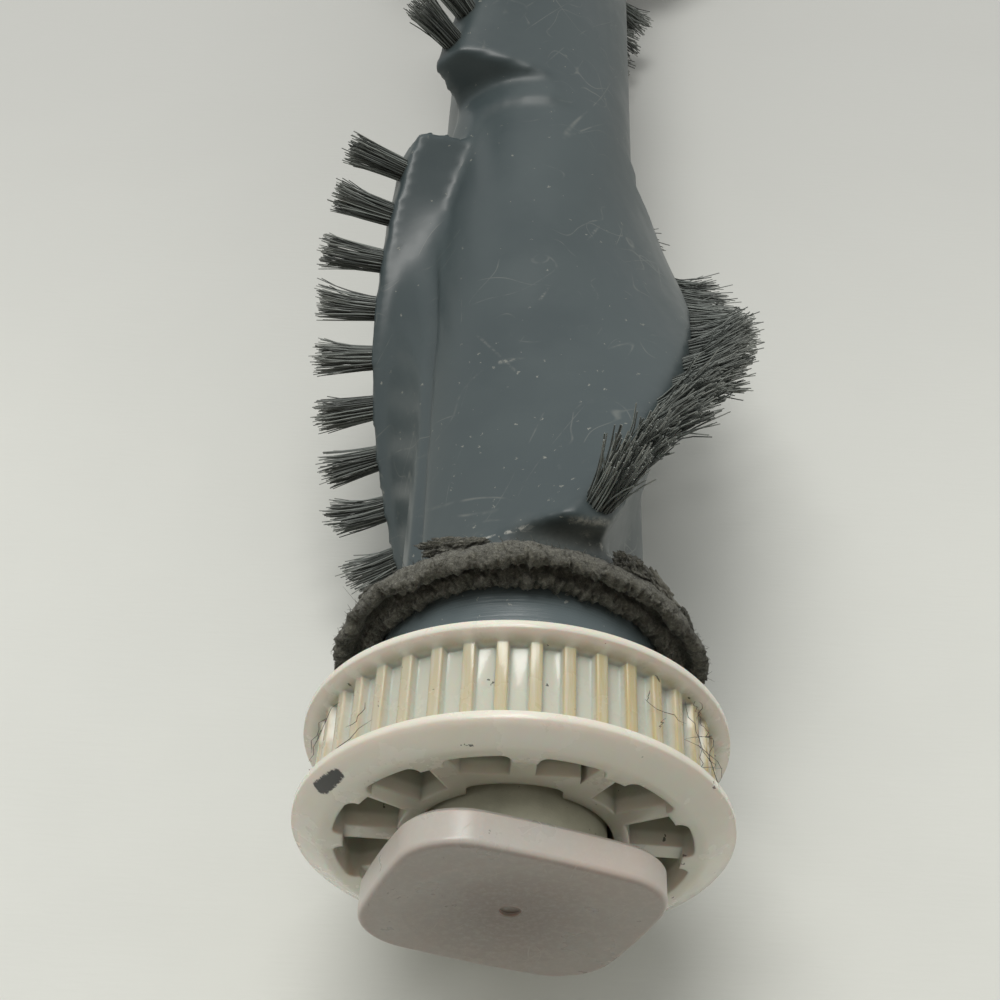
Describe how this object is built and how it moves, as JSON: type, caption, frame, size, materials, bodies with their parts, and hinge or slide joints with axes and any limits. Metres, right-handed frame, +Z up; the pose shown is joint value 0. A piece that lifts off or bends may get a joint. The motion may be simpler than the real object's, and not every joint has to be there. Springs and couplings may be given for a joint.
{
  "type": "vacuum roller brush",
  "caption": "Vacuum roller brush: a grey barrel with twin helical ribs set with bristle tufts, a white toothed belt pulley, felt seals and end cap blocks that it turns in.",
  "frame": {"origin": "on the roller's axis, halfway between the outer faces of its end caps", "axes": "+Y along the axis from the belt end to the idle end, +Z up as the roller lies on a table"},
  "size_m": [0.0528, 0.277, 0.0524],
  "materials": {
    "barrel_plastic": "moulded blue-grey plastic, scuffed and dusty",
    "bristle_nylon": "dark grey nylon filament",
    "anchor_wire": "drawn flat wire",
    "pulley_plastic": "warm white moulded plastic, tooth tips stained yellow",
    "seal_felt": "grey-brown felt, ragged and full of lint",
    "cap_moulding": "pinkish white waxy moulding",
    "holder_plastic": "grey plastic under dust",
    "shaft_steel": "ground steel",
    "clip_steel": "spring steel",
    "bush_bronze": "sintered bronze"
  },
  "bodies": {
    "roller": {"roller_barrel": "barrel_plastic", "shaft": "shaft_steel", "belt_pulley": "pulley_plastic", "belt_felt_seal": "seal_felt", "idle_felt_seal": "seal_felt", "bristles_belt_a": "bristle_nylon", "bristles_belt_b": "bristle_nylon", "bristles_centre_a": "bristle_nylon", "bristles_centre_b": "bristle_nylon", "bristles_idle_a": "bristle_nylon", "bristles_idle_b": "bristle_nylon", "anchors_belt_a": "anchor_wire", "anchors_belt_b": "anchor_wire", "anchors_centre_a": "anchor_wire", "anchors_centre_b": "anchor_wire", "anchors_idle_a": "anchor_wire", "anchors_idle_b": "anchor_wire", "belt_thrust_washer": "shaft_steel", "idle_thrust_washer": "shaft_steel", "belt_retaining_clip": "clip_steel", "idle_retaining_clip": "clip_steel"},
    "belt_end_block": {"belt_end_cap": "cap_moulding", "belt_bearing_holder": "holder_plastic", "belt_bearing_bush": "bush_bronze"},
    "idle_end_block": {"idle_end_cap": "cap_moulding", "idle_bearing_holder": "holder_plastic", "idle_bearing_bush": "bush_bronze"}
  },
  "joints": [
    {"name": "belt_end_turn", "type": "hinge", "parent": "roller", "child": "belt_end_block", "pos_m": [0, -0.132, 0], "axis": [0, 1, 0], "continuous": true},
    {"name": "idle_end_turn", "type": "hinge", "parent": "roller", "child": "idle_end_block", "pos_m": [0, 0.132, 0], "axis": [0, 1, 0], "continuous": true}
  ]
}
